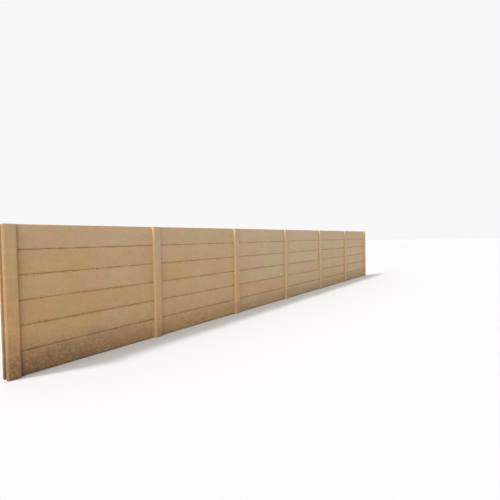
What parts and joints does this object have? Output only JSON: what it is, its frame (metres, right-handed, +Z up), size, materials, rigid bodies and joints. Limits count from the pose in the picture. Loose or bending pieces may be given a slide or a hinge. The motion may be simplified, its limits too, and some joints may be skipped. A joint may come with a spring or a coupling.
{
  "type": "precast concrete wall",
  "caption": "Straight run of post-and-panel precast concrete boundary wall: flat chamfered panels stacked on edge in the slots of H-section posts.",
  "frame": {"origin": "centre of the middle post's foot, at ground level", "axes": "+X along the wall, -Y out of its front face, +Z up"},
  "size_m": [13.35, 0.15, 1.83],
  "materials": {
    "post_concrete": "matte",
    "panel_concrete": "matte",
    "splashed_concrete": "matte"
  },
  "bodies": {
    "root": {"post_1": "post_concrete", "post_2": "post_concrete", "post_3": "post_concrete", "post_4": "post_concrete", "post_5": "post_concrete", "post_6": "post_concrete", "post_7": "post_concrete", "bay_1_panel_1": "splashed_concrete", "bay_1_panel_2": "panel_concrete", "bay_1_panel_3": "panel_concrete", "bay_1_panel_4": "panel_concrete", "bay_1_panel_5": "panel_concrete", "bay_1_panel_6": "panel_concrete", "bay_2_panel_1": "splashed_concrete", "bay_2_panel_2": "panel_concrete", "bay_2_panel_3": "panel_concrete", "bay_2_panel_4": "panel_concrete", "bay_2_panel_5": "panel_concrete", "bay_2_panel_6": "panel_concrete", "bay_3_panel_1": "splashed_concrete", "bay_3_panel_2": "panel_concrete", "bay_3_panel_3": "panel_concrete", "bay_3_panel_4": "panel_concrete", "bay_3_panel_5": "panel_concrete", "bay_3_panel_6": "panel_concrete", "bay_4_panel_1": "splashed_concrete", "bay_4_panel_2": "panel_concrete", "bay_4_panel_3": "panel_concrete", "bay_4_panel_4": "panel_concrete", "bay_4_panel_5": "panel_concrete", "bay_4_panel_6": "panel_concrete", "bay_5_panel_1": "splashed_concrete", "bay_5_panel_2": "panel_concrete", "bay_5_panel_3": "panel_concrete", "bay_5_panel_4": "panel_concrete", "bay_5_panel_5": "panel_concrete", "bay_5_panel_6": "panel_concrete", "bay_6_panel_1": "splashed_concrete", "bay_6_panel_2": "panel_concrete", "bay_6_panel_3": "panel_concrete", "bay_6_panel_4": "panel_concrete", "bay_6_panel_5": "panel_concrete", "bay_6_panel_6": "panel_concrete"}
  },
  "joints": []
}
